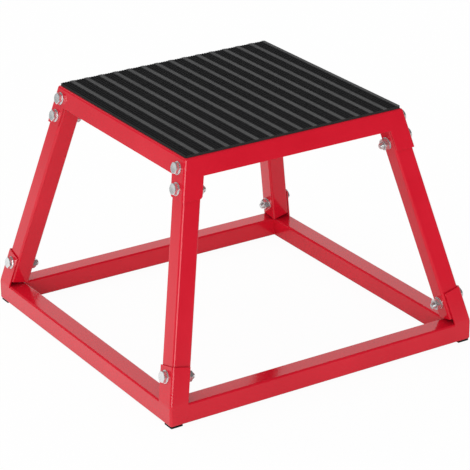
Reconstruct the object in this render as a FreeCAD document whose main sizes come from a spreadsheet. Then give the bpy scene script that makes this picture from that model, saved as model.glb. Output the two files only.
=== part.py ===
import FreeCAD, Part
import math
import os
import Sketcher
from FreeCAD import Placement, Rotation, Vector

# An open steel platform for jump training. A folded tray with a ribbed rubber mat stands
# on four splayed tube legs, which are bolted to a welded base frame on rubber feet.
# Millimetres. The floor is z = 0, the origin is under the middle, x runs to the right
# along the front edge and y to the back.

DIMENSIONS = {
    # overall
    "overall_height": 305.5,
    "tray_size": 308.0,
    "base_size": 436.5,
    # folded sheet of the tray and of the corner plates, with the inside radius of its folds
    "sheet_thickness": 2.0,
    "bend_radius": 1.0,
    "skirt_height": 23.0,
    # rubber mat, with its first broad rib measured from the left edge
    "mat_margin": 2.5,
    "mat_base": 2.8,
    "mat_corner": 2.0,
    "first_rib": 15.7,
    "rib_height": 0.7,
    "rib_width": 5.7,
    "rib_pitch": 20.4,
    "fine_rib_count": 4,
    "fine_rib_width": 1.8,
    "fine_rib_height": 0.4,
    # square tubes, with the inside radius of their corners
    "leg_width": 25.0,
    "leg_wall": 2.0,
    "rail_width": 25.0,
    "rail_wall": 1.5,
    "tube_radius": 1.0,
    # how much of a leg's side shows beside the corner plates
    "side_reveal": 1.0,
    "front_reveal": 3.2,
    # feet
    "foot_size": 16.0,
    "foot_height": 2.5,
    "foot_inset": 1.5,
    "foot_radius": 1.0,
    # fasteners
    "bolt_diameter": 8.0,
    "bolt_chamfer": 1.0,
    "thread_end": 4.1,
    "head_height": 4.5,
    "nut_height": 6.5,
    "across_flats": 13.0,
    "washer_diameter": 16.0,
    "washer_thickness": 1.2,
    # bolts of the tray, down from its top to the lower edge of the ears
    "upper_bolt_drop": 13.5,
    "tray_bolt_spacing": 23.0,
    "tray_ear_margin": 11.5,
    # bolts of the base, up from the rails to the upper edge of the corner plates
    "base_bolt_rise": 30.7,
    "base_ear_margin": 15.3,
    # clearances
    "bolt_clearance": 1.0,
    "washer_clearance": 0.4,
    "thread_clearance": 0.2,
    "leg_side_clearance": 0.2,
    "leg_end_clearance": 0.4,
    "lip_clearance": 0.25,
}

# Values that follow from the dimensions. The legs and plates lean in along both sides, so
# a leg has its own frame: x points out of the bolted side face, z runs up along the leg
# and the bolted face meets the top of the tray at z = 0.
DERIVED = {
    "tray_top": "dimensions.overall_height - dimensions.mat_base - dimensions.rib_height",
    "rail_top": "dimensions.foot_height + dimensions.rail_width",
    "slope": "(dimensions.base_size - dimensions.tray_size) / 2 / (derived.tray_top - derived.rail_top)",
    # outside radii of folds and tubes
    "fold_radius": "dimensions.bend_radius + dimensions.sheet_thickness",
    "leg_radius": "dimensions.tube_radius + dimensions.leg_wall",
    "rail_radius": "dimensions.tube_radius + dimensions.rail_wall",
    # the mat, and enough broad ribs to cross it from one that lies off its left edge
    "mat_size": "dimensions.tray_size - 2 * dimensions.mat_margin",
    "field_width": "dimensions.rib_pitch - dimensions.rib_width",
    "fine_pitch": "derived.field_width / dimensions.fine_rib_count",
    "rib_count": "floor(derived.mat_size / dimensions.rib_pitch) + 2",
    # height gained per millimetre along the leg frame's x, y and z
    "out_rise": "derived.slope / sqrt(1 + derived.slope ^ 2)",
    "up_rise": "1 / sqrt(1 + 2 * derived.slope ^ 2)",
    "across_rise": "derived.out_rise * derived.up_rise",
    # angle between two neighbouring side faces, seen along the leg
    "face_cos": "derived.slope ^ 2 / (1 + derived.slope ^ 2)",
    "face_sin": "sqrt(1 - derived.face_cos ^ 2)",
    # the leg's middle, measured from the sharp corner of the side faces
    "leg_inset_out": "dimensions.sheet_thickness + dimensions.leg_width / 2",
    "leg_inset_across": "dimensions.leg_width / 2 + (dimensions.sheet_thickness * (1 - derived.face_cos)"
                        " + dimensions.leg_side_clearance) / derived.face_sin",
    # places along the leg
    "leg_top": "(dimensions.sheet_thickness * (derived.out_rise - 1) - dimensions.leg_end_clearance"
               " - dimensions.leg_width / 2 * derived.across_rise) / derived.up_rise",
    "leg_bottom": "(derived.rail_top - derived.tray_top + dimensions.leg_end_clearance"
                  " + (dimensions.leg_width + dimensions.sheet_thickness) * derived.out_rise"
                  " + dimensions.leg_width / 2 * derived.across_rise) / derived.up_rise",
    "upper_bolt": "-dimensions.upper_bolt_drop / derived.up_rise",
    "lower_bolt": "derived.upper_bolt - dimensions.tray_bolt_spacing / derived.up_rise",
    "base_bolt": "(derived.rail_top + dimensions.base_bolt_rise - derived.tray_top) / derived.up_rise",
    # ears of the tray, which end flush with the inner faces of the legs
    "tray_ear_drop": "dimensions.upper_bolt_drop + dimensions.tray_bolt_spacing + dimensions.tray_ear_margin",
    "tray_ear_width": "derived.leg_inset_across + dimensions.leg_width / 2",
    # corner plates, along the leg and along its two outer faces, and how far their lower
    # edge reaches down over the rounded edge of the rails, which ends above their hollow
    "plate_top": "(derived.rail_top + dimensions.base_bolt_rise + dimensions.base_ear_margin"
                 " - derived.tray_top - derived.leg_inset_across * derived.across_rise) / derived.up_rise",
    "plate_foot": "(dimensions.foot_height - derived.tray_top"
                  " - derived.leg_inset_across * derived.across_rise) / derived.up_rise",
    "side_plate_width": "derived.leg_inset_across + dimensions.leg_width / 2 - dimensions.side_reveal",
    "front_plate_width": "derived.leg_inset_out + dimensions.leg_width / 2 - dimensions.front_reveal",
    "plate_lip": "dimensions.rail_wall - dimensions.lip_clearance",
    # bolts, from under the head to the end of the thread past the nut
    "bolt_length": "dimensions.sheet_thickness + dimensions.leg_width + 2 * dimensions.washer_thickness"
                   " + dimensions.nut_height + dimensions.thread_end",
}

CORNERS = {"front_left": (-1, -1), "front_right": (1, -1), "back_right": (1, 1), "back_left": (-1, 1)}

# Rows of fasteners, and their places along the leg
FASTENER_ROWS = {"tray_upper": "upper_bolt", "tray_lower": "lower_bolt", "base": "base_bolt"}

# Points and levels closer than this are the same one
SAME_PLACE = 0.01

doc = FreeCAD.newDocument("plyo_platform")
sheet = doc.addObject("Spreadsheet::Sheet", "dimensions")
for row, (name, size) in enumerate(DIMENSIONS.items(), start=1):
    sheet.set(f"A{row}", name)
    sheet.set(f"B{row}", str(size))
    sheet.setAlias(f"B{row}", name)
doc.recompute()

derived = doc.addObject("App::VarSet", "derived")
for name, formula in DERIVED.items():
    derived.addProperty("App::PropertyFloat", name)
    derived.setExpression(name, formula)
doc.recompute()


def value(formula):
    return float(derived.evalExpression(formula))


# Sketch and feature helpers. Sizes and places are formulas on the two tables above.

def bind(sketch, kind, *places, formula):
    index = sketch.addConstraint(Sketcher.Constraint(kind, *places, value(formula)))
    sketch.setExpression(f"Constraints[{index}]", formula)


def pin(sketch, geometry, point, x, y):
    bind(sketch, "DistanceX", -1, 1, geometry, point, formula=x)
    bind(sketch, "DistanceY", -1, 1, geometry, point, formula=y)


def outline(sketch, points):
    first = sketch.GeometryCount
    corners = [Vector(value(x), value(y), 0) for x, y in points]
    for start, end in zip(corners, corners[1:] + corners[:1]):
        sketch.addGeometry(Part.LineSegment(start, end))
    for i, (x, y) in enumerate(points):
        following = first + (i + 1) % len(points)
        sketch.addConstraint(Sketcher.Constraint("Coincident", first + i, 2, following, 1))
        pin(sketch, first + i, 1, x, y)


def circle(sketch, x, y, diameter):
    shape = Part.Circle(Vector(value(x), value(y), 0), Vector(0, 0, 1), value(diameter) / 2)
    index = sketch.addGeometry(shape)
    pin(sketch, index, 3, x, y)
    bind(sketch, "Diameter", index, formula=diameter)


def rounded_square(sketch, width, radius):
    first = sketch.GeometryCount
    reach = f"(({width}) / 2 - ({radius}))"
    arcs = [first + i for i in range(4)]
    sides = [first + 4 + i for i in range(4)]
    signs = ((1, 1), (-1, 1), (-1, -1), (1, -1))
    for i, (sign_x, sign_y) in enumerate(signs):
        middle = Vector(sign_x * value(reach), sign_y * value(reach), 0)
        corner = Part.Circle(middle, Vector(0, 0, 1), value(radius))
        sketch.addGeometry(Part.ArcOfCircle(corner, i * math.pi / 2, (i + 1) * math.pi / 2))
    for i in range(4):
        start = sketch.getPoint(arcs[i], 2)
        end = sketch.getPoint(arcs[(i + 1) % 4], 1)
        sketch.addGeometry(Part.LineSegment(start, end))
    for i, (sign_x, sign_y) in enumerate(signs):
        sketch.addConstraint(Sketcher.Constraint("Tangent", arcs[i], 2, sides[i], 1))
        sketch.addConstraint(Sketcher.Constraint("Tangent", sides[i], 2, arcs[(i + 1) % 4], 1))
        pin(sketch, arcs[i], 3, f"{sign_x} * {reach}", f"{sign_y} * {reach}")
        bind(sketch, "Radius", arcs[i], formula=radius)


def hexagon(sketch, across_flats):
    reach = f"({across_flats}) / sqrt(3)"
    turns = [30 + 60 * i for i in range(6)]
    outline(sketch, [(f"{reach} * cos({turn})", f"{reach} * sin({turn})") for turn in turns])


def add_body(label, placement=None):
    body = doc.addObject("PartDesign::Body", "body")
    body.Label = label
    body.Placement = placement or Placement()
    return body


def add_sketch(body, role, x="0", y="0", z="0"):
    sketch = body.newObject("Sketcher::SketchObject", "sketch")
    plane = next(item for item in body.Origin.OriginFeatures if item.Role == role)
    sketch.AttachmentSupport = [(plane, "")]
    sketch.MapMode = "FlatFace"
    for axis, formula in (("x", x), ("y", y), ("z", z)):
        sketch.setExpression(f"AttachmentOffset.Base.{axis}", formula)
    return sketch


def add_pad(body, sketch, length, side="One side", down=False):
    pad = body.newObject("PartDesign::Pad", "pad")
    pad.Profile = sketch
    pad.SideType = side
    pad.Reversed = down
    pad.setExpression("Length", length)
    return pad


def cut_through(body, sketch):
    pocket = body.newObject("PartDesign::Pocket", "pocket")
    pocket.Profile = sketch
    pocket.SideType = "Symmetric"
    pocket.Type = "ThroughAll"
    return pocket


def add_pattern(body, features, sketch, count, pitch):
    pattern = body.newObject("PartDesign::LinearPattern", "pattern")
    pattern.Originals = features
    pattern.Direction = (sketch, ["H_Axis"])
    pattern.setExpression("Occurrences", count)
    pattern.setExpression("Length", f"({pitch}) * (({count}) - 1)")
    body.Tip = pattern
    return pattern


def add_fillet(body, base, edges, radius):
    fillet = body.newObject("PartDesign::Fillet", "fillet")
    fillet.Base = (base, edges)
    fillet.setExpression("Radius", radius)
    return fillet


def edge_names(shape, test):
    return [f"Edge{i}" for i, edge in enumerate(shape.Edges, start=1) if test(edge)]


def is_level(edge):
    return edge.BoundBox.ZLength < SAME_PLACE


def is_at_height(edge, height):
    return is_level(edge) and abs(edge.BoundBox.ZMax - height) < SAME_PLACE


# Frames of the legs, and of the bolts that cross them

def leg_frame(sign_x, sign_y):
    slope = derived.slope
    up = Vector(-sign_x * slope, -sign_y * slope, 1).normalize()
    out = Vector(sign_x, 0, slope).normalize()
    across = up.cross(out)
    inward = across * (-sign_x * sign_y)
    corner = Vector(sign_x * sheet.tray_size / 2, sign_y * sheet.tray_size / 2, derived.tray_top)
    on_face = corner + inward * derived.leg_inset_across
    on_face += up * ((derived.tray_top - on_face.z) / up.z)
    return Placement(on_face - out * derived.leg_inset_out, Rotation(out, across, up, "ZXY"))


def bolt_frame(corner, along, distance_out):
    outwards = Rotation(Vector(0, 1, 0), 90)
    return leg_frame(*corner) * Placement(Vector(distance_out, 0, along), outwards)


# Tray: a folded sheet with a flat top, four leaning skirts and an ear on each side of a corner

def make_tray():
    body = add_body("tray_blank")
    top = add_sketch(body, "XY_Plane", z="derived.tray_top")
    half = "dimensions.tray_size / 2"
    outline(top, [(f"{x} * {half}", f"{y} * {half}") for x, y in CORNERS.values()])
    blank = add_pad(body, top, "derived.tray_ear_drop", down=True)
    blank.setExpression("TaperAngle", "atan(derived.slope)")
    doc.recompute()

    upright = edge_names(blank.Shape, lambda edge: not is_level(edge))
    rounded = add_fillet(body, blank, upright, "derived.fold_radius")
    doc.recompute()
    rim = edge_names(rounded.Shape, lambda edge: is_at_height(edge, derived.tray_top))
    folded = add_fillet(body, rounded, rim, "derived.fold_radius")
    doc.recompute()

    # the hollow below the sheet, with the same folds on its inner side
    under = add_sketch(body, "XY_Plane", z="derived.tray_top - dimensions.sheet_thickness")
    inset = "dimensions.sheet_thickness * (sqrt(1 + derived.slope ^ 2) - derived.slope)"
    inner = f"({half} - {inset})"
    outline(under, [(f"{x} * {inner}", f"{y} * {inner}") for x, y in CORNERS.values()])
    hollow = body.newObject("PartDesign::Pocket", "pocket")
    hollow.Profile = under
    hollow.setExpression("Length", "derived.tray_ear_drop")
    hollow.setExpression("TaperAngle", "atan(derived.slope)")
    doc.recompute()
    ceiling = derived.tray_top - sheet.sheet_thickness
    outer_edges = [edge.CenterOfMass for edge in folded.Shape.Edges]

    def is_inside(edge):
        return min(edge.CenterOfMass.distanceToPoint(place) for place in outer_edges) > SAME_PLACE

    upright = edge_names(hollow.Shape, lambda edge: is_inside(edge) and not is_level(edge))
    rounded = add_fillet(body, hollow, upright, "dimensions.bend_radius")
    doc.recompute()
    rim = edge_names(rounded.Shape, lambda edge: is_at_height(edge, ceiling))
    add_fillet(body, rounded, rim, "dimensions.bend_radius")

    # the open span between two ears, below each skirt
    for plane in ("XZ_Plane", "YZ_Plane"):
        window = add_sketch(body, plane)
        high = "dimensions.skirt_height"
        low = "(derived.tray_ear_drop + dimensions.skirt_height)"
        points = []
        for sign, drop in ((-1, low), (1, low), (1, high), (-1, high)):
            reach = f"({half} + derived.slope * {drop} - derived.tray_ear_width)"
            points.append((f"{sign} * {reach}", f"derived.tray_top - {drop}"))
        outline(window, points)
        cut_through(body, window)
    return body


def drill_tray(tray):
    drills = doc.addObject("Part::Compound", "drills")
    rods = []
    for corner in CORNERS.values():
        for along in (derived.upper_bolt, derived.lower_bolt):
            # from one thickness behind the sheet to one thickness in front of it
            rod = doc.addObject("Part::Cylinder", "drill")
            rod.setExpression("Radius", "(dimensions.bolt_diameter + dimensions.bolt_clearance) / 2")
            rod.setExpression("Height", "3 * dimensions.sheet_thickness")
            rod.Placement = bolt_frame(corner, along, sheet.leg_width / 2 - sheet.sheet_thickness)
            rods.append(rod)
    drills.Links = rods
    drilled = doc.addObject("Part::Cut", "cut")
    drilled.Label = "platform_tray"
    drilled.Base = tray
    drilled.Tool = drills
    return drilled


# Mat: rubber sheet with broad flat ribs, and fine ribs in the fields between them, cut to
# size from a larger piece, so that the ribs end flush with its edges

def make_mat():
    body = add_body("rubber_mat")
    blank_half = "(derived.mat_size / 2 + dimensions.rib_pitch)"
    waste_half = "(derived.mat_size / 2 + 2 * dimensions.rib_pitch)"
    blank = add_sketch(body, "XY_Plane", z="derived.tray_top")
    outline(blank, [(f"{x} * {blank_half}", f"{y} * {blank_half}") for x, y in CORNERS.values()])
    add_pad(body, blank, "dimensions.mat_base")

    def add_ribs(middles, width, height):
        sketch = add_sketch(body, "XY_Plane", z="derived.tray_top + dimensions.mat_base")
        for middle in middles:
            left = f"{middle} - {width} / 2"
            right = f"{middle} + {width} / 2"
            outline(sketch, [(left, f"-{blank_half}"), (right, f"-{blank_half}"),
                             (right, blank_half), (left, blank_half)])
        ribs = add_pad(body, sketch, height)
        doc.recompute()
        add_pattern(body, [ribs], sketch, "derived.rib_count", "dimensions.rib_pitch")

    first = "dimensions.first_rib - dimensions.rib_pitch - derived.mat_size / 2"
    add_ribs([first], "dimensions.rib_width", "dimensions.rib_height")
    field = f"{first} + dimensions.rib_pitch / 2"
    count = int(sheet.fine_rib_count)
    fine = [f"{field} + {i - (count - 1) / 2} * derived.fine_pitch" for i in range(count)]
    add_ribs(fine, "dimensions.fine_rib_width", "dimensions.fine_rib_height")

    waste = add_sketch(body, "XY_Plane")
    outline(waste, [(f"{x} * {waste_half}", f"{y} * {waste_half}") for x, y in CORNERS.values()])
    rounded_square(waste, "derived.mat_size", "dimensions.mat_corner")
    cut_through(body, waste)
    return body


# Legs: square tubes cut square at both ends, drilled across for the bolts

def make_leg(name, corner):
    body = add_body(f"leg_{name}", leg_frame(*corner))
    section = add_sketch(body, "XY_Plane", z="derived.leg_bottom")
    rounded_square(section, "dimensions.leg_width", "derived.leg_radius")
    rounded_square(section, "dimensions.leg_width - 2 * dimensions.leg_wall", "dimensions.tube_radius")
    add_pad(body, section, "derived.leg_top - derived.leg_bottom")
    holes = add_sketch(body, "YZ_Plane")
    for place in FASTENER_ROWS.values():
        circle(holes, "0", f"derived.{place}", "dimensions.bolt_diameter + dimensions.bolt_clearance")
    cut_through(body, holes)
    return body


# Base frame: four mitred square tubes with the outer corners rounded off

def make_outline(label, bottom):
    body = add_body(label)
    sketch = add_sketch(body, "XY_Plane", z=bottom)
    rounded_square(sketch, "dimensions.base_size", "derived.fold_radius")
    add_pad(body, sketch, f"derived.tray_top - ({bottom})")
    return body


def make_rail(name, angle, outer):
    body = add_body(f"rail_tube_{name}", Placement(Vector(), Rotation(Vector(0, 0, 1), angle)))
    side = "(dimensions.rail_width - dimensions.base_size) / 2"
    section = add_sketch(body, "YZ_Plane", x=side, y="dimensions.foot_height + dimensions.rail_width / 2")
    rounded_square(section, "dimensions.rail_width", "derived.rail_radius")
    rounded_square(section, "dimensions.rail_width - 2 * dimensions.rail_wall", "dimensions.tube_radius")
    add_pad(body, section, "dimensions.base_size", side="Symmetric")
    mitres = add_sketch(body, "XY_Plane")
    half = "dimensions.base_size / 2"
    inner = "(dimensions.base_size / 2 - dimensions.rail_width)"
    for sign in (-1, 1):
        outline(mitres, [(f"{sign} * {half}", f"-{half}"), (f"{sign} * {half}", f"-{inner}"),
                         (f"{sign} * {inner}", f"-{inner}")])
    cut_through(body, mitres)
    rail = doc.addObject("Part::Common", "common")
    rail.Label = f"base_rail_{name}"
    rail.Base = body
    rail.Tool = outer
    return rail


# Corner plates: bent plates that stand on the base frame, flush with its outer faces, and
# hold the foot of a leg. The lower edge follows the rounded edge of the rails.

def make_corner_plate(name, corner, outer, rails):
    side = corner[0] * corner[1]
    body = add_body(f"plate_blank_{name}", leg_frame(*corner))
    section = add_sketch(body, "XY_Plane", z="derived.plate_foot")
    thick = "dimensions.sheet_thickness"
    wide, front = "derived.side_plate_width", "derived.front_plate_width"
    out, edge = "derived.leg_inset_out", "derived.leg_inset_across"
    cosine, sine = "derived.face_cos", "derived.face_sin"
    outside = (out, edge)
    inside = (f"{out} - {thick}", f"{edge} - {thick} * (1 - {cosine}) / {sine}")
    points = [
        outside,
        (out, f"{edge} - {wide}"),
        (f"{out} - {thick}", f"{edge} - {wide}"),
        inside,
        (f"{out} - {sine} * {front} - {cosine} * {thick}", f"{edge} + {cosine} * {front} - {sine} * {thick}"),
        (f"{out} - {sine} * {front}", f"{edge} + {cosine} * {front}"),
    ]
    outline(section, [(x, f"{side} * ({y})") for x, y in points])
    bent = add_pad(body, section, "derived.plate_top - derived.plate_foot")
    doc.recompute()

    def edges_along(shape, point):
        x, y = point
        place = Vector(value(x), side * value(y), 0)

        def runs_there(item):
            ends = [Vector(vertex.X, vertex.Y, 0) for vertex in item.Vertexes]
            return all(place.distanceToPoint(end) < SAME_PLACE for end in ends)

        return edge_names(shape, runs_there)

    bend = add_fillet(body, bent, edges_along(bent.Shape, outside), "derived.fold_radius")
    doc.recompute()
    add_fillet(body, bend, edges_along(bend.Shape, inside), "dimensions.bend_radius")
    hole = add_sketch(body, "YZ_Plane")
    circle(hole, "0", "derived.base_bolt", "dimensions.bolt_diameter + dimensions.bolt_clearance")
    drilled = body.newObject("PartDesign::Pocket", "pocket")
    drilled.Profile = hole
    drilled.Reversed = True
    drilled.setExpression("Length", "dimensions.leg_width")

    standing = doc.addObject("Part::Common", "common")
    standing.Base = body
    standing.Tool = outer
    for rail in rails:
        seated = doc.addObject("Part::Cut", "cut")
        seated.Base = standing
        seated.Tool = rail
        standing = seated
    standing.Label = f"base_corner_{name}"
    return standing


# Feet: rubber pads under the corners of the base

def make_foot(name, corner):
    reach = (sheet.base_size - sheet.foot_size) / 2 - sheet.foot_inset
    body = add_body(f"foot_{name}", Placement(Vector(corner[0] * reach, corner[1] * reach, 0), Rotation()))
    sketch = add_sketch(body, "XY_Plane")
    rounded_square(sketch, "dimensions.foot_size", "dimensions.foot_radius")
    add_pad(body, sketch, "dimensions.foot_height")
    return body


# Fasteners, each drawn once with its axis along z, pointing out of the side face

def make_bolt():
    body = add_body("bolt")
    head = add_sketch(body, "XY_Plane")
    hexagon(head, "dimensions.across_flats")
    add_pad(body, head, "dimensions.head_height")
    shank = add_sketch(body, "XY_Plane")
    circle(shank, "0", "0", "dimensions.bolt_diameter")
    rod = add_pad(body, shank, "derived.bolt_length", down=True)
    doc.recompute()
    chamfer = body.newObject("PartDesign::Chamfer", "chamfer")
    chamfer.Base = (rod, edge_names(rod.Shape, lambda edge: is_at_height(edge, -derived.bolt_length)))
    chamfer.setExpression("Size", "dimensions.bolt_chamfer")
    return body


def make_washer():
    body = add_body("washer")
    ring = add_sketch(body, "XY_Plane")
    circle(ring, "0", "0", "dimensions.washer_diameter")
    circle(ring, "0", "0", "dimensions.bolt_diameter + dimensions.washer_clearance")
    add_pad(body, ring, "dimensions.washer_thickness")
    return body


def make_nut():
    body = add_body("nut")
    block = add_sketch(body, "XY_Plane")
    hexagon(block, "dimensions.across_flats")
    circle(block, "0", "0", "dimensions.bolt_diameter + dimensions.thread_clearance")
    add_pad(body, block, "dimensions.nut_height", down=True)
    return body


def make_group(label, fastener, along, distance_out):
    copies = []
    for corner in CORNERS.values():
        copy = doc.addObject("App::Link", "copy")
        copy.LinkedObject = fastener
        copy.Placement = bolt_frame(corner, along, distance_out)
        copies.append(copy)
    group = doc.addObject("Part::Compound", "group")
    group.Label = label
    group.Links = copies
    return group


# The whole platform

parts = [drill_tray(make_tray()), make_mat()]
parts += [make_leg(name, corner) for name, corner in CORNERS.items()]

frame_outline = make_outline("frame_outline", "dimensions.foot_height")
plate_outline = make_outline("plate_outline", "derived.rail_top - derived.plate_lip")
rails = {}
for i, name in enumerate(("front", "right", "back", "left")):
    rails[name] = make_rail(name, 90 * i, frame_outline)
parts += list(rails.values())
for name, corner in CORNERS.items():
    beside = [rails[word] for word in name.split("_")]
    parts.append(make_corner_plate(name, corner, plate_outline, beside))
    parts.append(make_foot(name, corner))

bolt, washer, nut = make_bolt(), make_washer(), make_nut()
outer_face = derived.leg_inset_out
inner_face = -sheet.leg_width / 2
for row, place in FASTENER_ROWS.items():
    along = value(f"derived.{place}")
    under_head = outer_face + sheet.washer_thickness
    under_nut = inner_face - sheet.washer_thickness
    parts.append(make_group(f"{row}_bolts", bolt, along, under_head))
    parts.append(make_group(f"{row}_head_washers", washer, along, outer_face))
    parts.append(make_group(f"{row}_nut_washers", washer, along, under_nut))
    parts.append(make_group(f"{row}_nuts", nut, along, under_nut))
doc.recompute()

for item in doc.Objects:
    if "Invalid" in item.State or "Error" in item.State:
        raise RuntimeError(f"{item.Label} failed: {item.State}")
for part in parts:
    if part.Shape.isNull() or not part.Shape.isValid():
        raise RuntimeError(f"{part.Label} has no valid shape")

os.makedirs("parts", exist_ok=True)
for part in parts:
    part.Shape.exportStep(f"parts/{part.Label}.step")
    box = part.Shape.BoundBox
    print(f"{part.Label}: {len(part.Shape.Solids)} solids, {part.Shape.Volume / 1000:.2f} cm3,"
          f" z {box.ZMin:.2f} to {box.ZMax:.2f}")
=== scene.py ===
import math

import bmesh
import bpy
from mathutils import Matrix, Vector


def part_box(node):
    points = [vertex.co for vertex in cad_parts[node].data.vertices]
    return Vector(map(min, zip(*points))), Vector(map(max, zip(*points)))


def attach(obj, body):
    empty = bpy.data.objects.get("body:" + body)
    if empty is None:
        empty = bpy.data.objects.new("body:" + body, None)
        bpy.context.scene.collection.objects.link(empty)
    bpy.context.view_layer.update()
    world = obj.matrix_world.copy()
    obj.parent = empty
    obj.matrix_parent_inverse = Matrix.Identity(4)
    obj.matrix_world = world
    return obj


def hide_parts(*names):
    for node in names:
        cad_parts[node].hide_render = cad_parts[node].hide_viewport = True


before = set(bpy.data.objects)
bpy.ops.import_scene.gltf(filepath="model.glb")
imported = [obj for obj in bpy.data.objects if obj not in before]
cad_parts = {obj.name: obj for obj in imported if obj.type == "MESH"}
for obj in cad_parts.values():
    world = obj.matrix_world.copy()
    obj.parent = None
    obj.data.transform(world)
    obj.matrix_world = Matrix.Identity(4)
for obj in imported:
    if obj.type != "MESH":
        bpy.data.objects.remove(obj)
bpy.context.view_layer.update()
scene = bpy.context.scene
scene.view_settings.view_transform = "Standard"

# Metres. The floor is z = 0, x runs to the right along the front edge and y to the back.
quarterTurn = math.pi / 2
sideTurns = [Matrix.Rotation(quarterTurn * count, 3, "Z") for count in range(4)]
corners = {"front_left": (-1, -1), "front_right": (1, -1), "back_right": (1, 1), "back_left": (-1, 1)}

stand = {
    "matMargin": 0.0025,       # red sheet left showing round the mat
    "sheet": 0.002,            # tray and corner plates
    "fold": 0.003,             # outside radius of their folds
    "legWidth": 0.025,
    "sideClearance": 0.0002,   # between a leg and the sheet beside it
}

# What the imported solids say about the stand
matLow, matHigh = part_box("rubber_mat")
railLow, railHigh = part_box("base_rail_front")
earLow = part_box("platform_tray")[0].z
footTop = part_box("foot_front_left")[1].z
trayTop = matLow.z
trayHalf = matHigh.x + stand["matMargin"]
baseHalf = -railLow.y
railTop = railHigh.z
slope = (baseHalf - trayHalf) / (trayTop - railTop)   # how far the sides lean out per metre down
lean = math.atan(slope)

# height gained per metre along the x, y and z of a leg's own frame
outRise = slope / math.sqrt(1 + slope ** 2)
upRise = 1 / math.sqrt(1 + 2 * slope ** 2)
acrossRise = outRise * upRise
faceCos = slope ** 2 / (1 + slope ** 2)   # angle between two side faces, seen along the leg
faceSin = math.sqrt(1 - faceCos ** 2)
insetOut = stand["sheet"] + stand["legWidth"] / 2
insetAcross = stand["legWidth"] / 2 + (stand["sheet"] * (1 - faceCos) + stand["sideClearance"]) / faceSin


# A leg's own frame: x points out of its side, y across it and z up along it
def legFrame(corner):
    signX, signY = corner
    up = Vector((-signX * slope, -signY * slope, 1)).normalized()
    out = Vector((signX, 0, slope)).normalized()
    across = up.cross(out)
    place = Vector((signX * trayHalf, signY * trayHalf, trayTop)) - across * signX * signY * insetAcross
    place += up * ((trayTop - place.z) / up.z)
    turn = Matrix((out, across, up)).transposed().to_4x4()
    return Matrix.Translation(place - out * insetOut) @ turn


# Camera, solved on the edges in the photograph
cameraView = {
    "aim": (0.0, 0.0, 0.1525),
    "azimuth": -32.003,
    "elevation": 23.141,
    "roll": 0.588,
    "distance": 2.828779,
    "right": -0.007575,   # where the aim sits in the camera's own frame
    "up": 0.03255,
    "lens": 172.58,
    "sensor": 36.0,
}


def makeCamera():
    azimuth = math.radians(cameraView["azimuth"])
    elevation = math.radians(cameraView["elevation"])
    right = Vector((math.cos(azimuth), math.sin(azimuth), 0))
    back = Vector((math.sin(azimuth) * math.cos(elevation), -math.cos(azimuth) * math.cos(elevation),
                   math.sin(elevation)))
    look = Matrix((right, back.cross(right), back)).transposed()
    turn = look @ Matrix.Rotation(-math.radians(cameraView["roll"]), 3, "Z")
    offset = Vector((cameraView["right"], cameraView["up"], -cameraView["distance"]))
    data = bpy.data.cameras.new("photoCamera")
    data.sensor_width = cameraView["sensor"]
    data.lens = cameraView["lens"]
    camera = bpy.data.objects.new("photoCamera", data)
    camera.matrix_world = Matrix.Translation(Vector(cameraView["aim"]) - turn @ offset) @ turn.to_4x4()
    scene.collection.objects.link(camera)
    scene.camera = camera


makeCamera()
print("camera set")


# Node helpers, for shaders and for geometry

def addNode(tree, kind, inputs=None, **settings):
    node = tree.nodes.new(kind)
    for key, setting in settings.items():
        setattr(node, key, setting)
    for key, given in (inputs or {}).items():
        if isinstance(given, bpy.types.NodeSocket):
            tree.links.new(given, node.inputs[key])
        else:
            node.inputs[key].default_value = given
    return node


def mathNode(tree, operation, *values):
    return addNode(tree, "ShaderNodeMath", dict(enumerate(values)), operation=operation).outputs[0]


def mixValues(tree, factor, first, second):
    return addNode(tree, "ShaderNodeMix", {"Factor": factor, "A": first, "B": second}).outputs["Result"]


def mixColours(tree, factor, first, second):
    return addNode(tree, "ShaderNodeMix", {0: factor, 6: first, 7: second}, data_type="RGBA").outputs[2]


def mapTo(tree, source, low, high, ends=(0.0, 1.0), curve="LINEAR"):
    node = addNode(tree, "ShaderNodeMapRange", {
        "Value": source, "From Min": ends[0], "From Max": ends[1], "To Min": low, "To Max": high},
        interpolation_type=curve)
    return node.outputs["Result"]


def addBump(tree, shader, height, strength, distance):
    bump = addNode(tree, "ShaderNodeBump", {"Height": height, "Strength": strength, "Distance": distance})
    tree.links.new(bump.outputs["Normal"], shader.inputs["Normal"])


# a group that reads a place and some scales, and puts out one value
def startGroup(name, scales, result):
    group = bpy.data.node_groups.new(name, "ShaderNodeTree")
    group.interface.new_socket(name="Vector", in_out="INPUT", socket_type="NodeSocketVector")
    for label in scales:
        group.interface.new_socket(name=label, in_out="INPUT", socket_type="NodeSocketFloat")
    group.interface.new_socket(name=result, in_out="OUTPUT", socket_type="NodeSocketFloat")
    return group, group.nodes.new("NodeGroupInput").outputs, group.nodes.new("NodeGroupOutput").inputs


def useGroup(tree, group, inputs):
    return addNode(tree, "ShaderNodeGroup", inputs, node_tree=group).outputs[0]


def startMaterial(name):
    material = bpy.data.materials.new(name)
    material.use_nodes = True
    tree = material.node_tree
    shader = tree.nodes["Principled BSDF"]
    place = tree.nodes.new("ShaderNodeTexCoord").outputs["Object"]
    return material, tree, shader, place


# Slow cloudiness, which every finish here has at its own scale
slowCloud = {"detail": 4.0, "roughness": 0.55, "fade": (0.3, 0.7)}


def makeCloudGroup():
    group, given, result = startGroup("slowCloud", ["Cloud Scale"], "Cloud")
    cloud = addNode(group, "ShaderNodeTexNoise", {
        "Vector": given["Vector"], "Scale": given["Cloud Scale"],
        "Detail": slowCloud["detail"], "Roughness": slowCloud["roughness"]})
    group.links.new(mapTo(group, cloud.outputs["Fac"], 0.0, 1.0, slowCloud["fade"]), result["Cloud"])
    return group


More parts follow.
